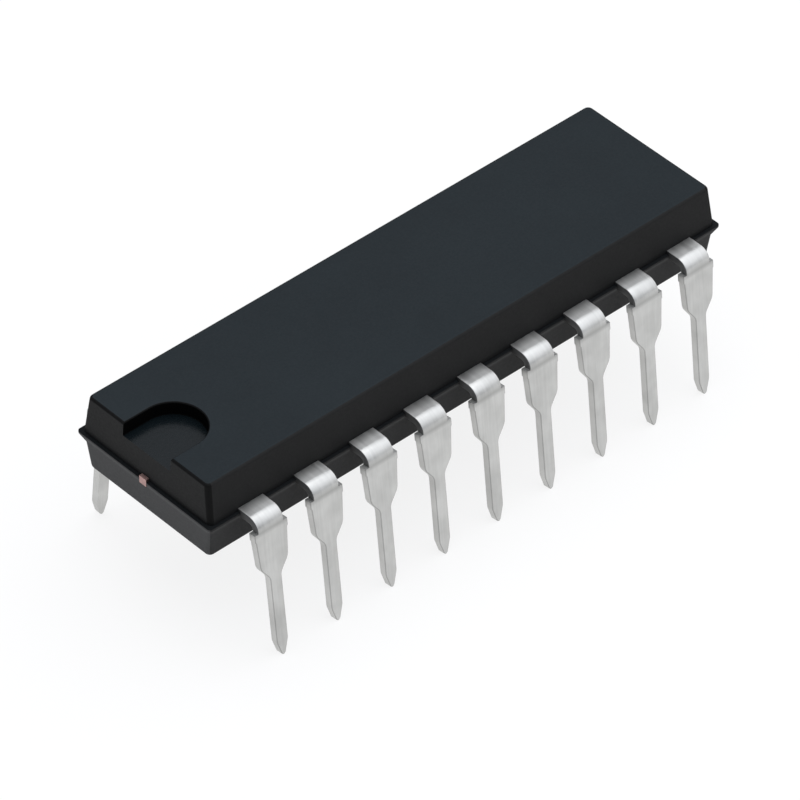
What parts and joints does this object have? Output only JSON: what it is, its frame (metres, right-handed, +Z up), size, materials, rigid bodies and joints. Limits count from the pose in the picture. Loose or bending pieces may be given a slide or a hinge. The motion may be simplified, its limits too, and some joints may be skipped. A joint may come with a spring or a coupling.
{
  "type": "dip integrated circuit chip",
  "caption": "Moulded dual in-line integrated circuit: a black epoxy body with an index notch, standing on two rows of bent tinned leads for through-hole boards.",
  "frame": {"origin": "bottom centre of the bounding box: on the plane of the lead tips, under the middle of the body", "axes": "+X along the body, away from the index notch; +Z up, square to the top face; the first lead row faces -Y"},
  "size_m": [0.0242, 0.01, 0.0076],
  "materials": {
    "moulding_compound": "fine spark-eroded mould texture",
    "tinned_lead": "satin tin plating over copper alloy",
    "copper_frame": "bare sheared copper alloy",
    "silver_adhesive": "cured paste",
    "silicon": "polished wafer face",
    "gold_wire": "drawn wire"
  },
  "bodies": {
    "root": {"moulded_body": "moulding_compound", "die_paddle": "copper_frame", "die_attach": "silver_adhesive", "silicon_die": "silicon", "lead_01": "tinned_lead", "lead_02": "tinned_lead", "lead_03": "tinned_lead", "lead_04": "tinned_lead", "lead_05": "tinned_lead", "lead_06": "tinned_lead", "lead_07": "tinned_lead", "lead_08": "tinned_lead", "lead_09": "tinned_lead", "lead_10": "tinned_lead", "lead_11": "tinned_lead", "lead_12": "tinned_lead", "lead_13": "tinned_lead", "lead_14": "tinned_lead", "lead_15": "tinned_lead", "lead_16": "tinned_lead", "lead_17": "tinned_lead", "lead_18": "tinned_lead", "bond_wire_01": "gold_wire", "bond_wire_02": "gold_wire", "bond_wire_03": "gold_wire", "bond_wire_04": "gold_wire", "bond_wire_05": "gold_wire", "bond_wire_06": "gold_wire", "bond_wire_07": "gold_wire", "bond_wire_08": "gold_wire", "bond_wire_09": "gold_wire", "bond_wire_10": "gold_wire", "bond_wire_11": "gold_wire", "bond_wire_12": "gold_wire", "bond_wire_13": "gold_wire", "bond_wire_14": "gold_wire", "bond_wire_15": "gold_wire", "bond_wire_16": "gold_wire", "bond_wire_17": "gold_wire", "bond_wire_18": "gold_wire"}
  },
  "joints": []
}
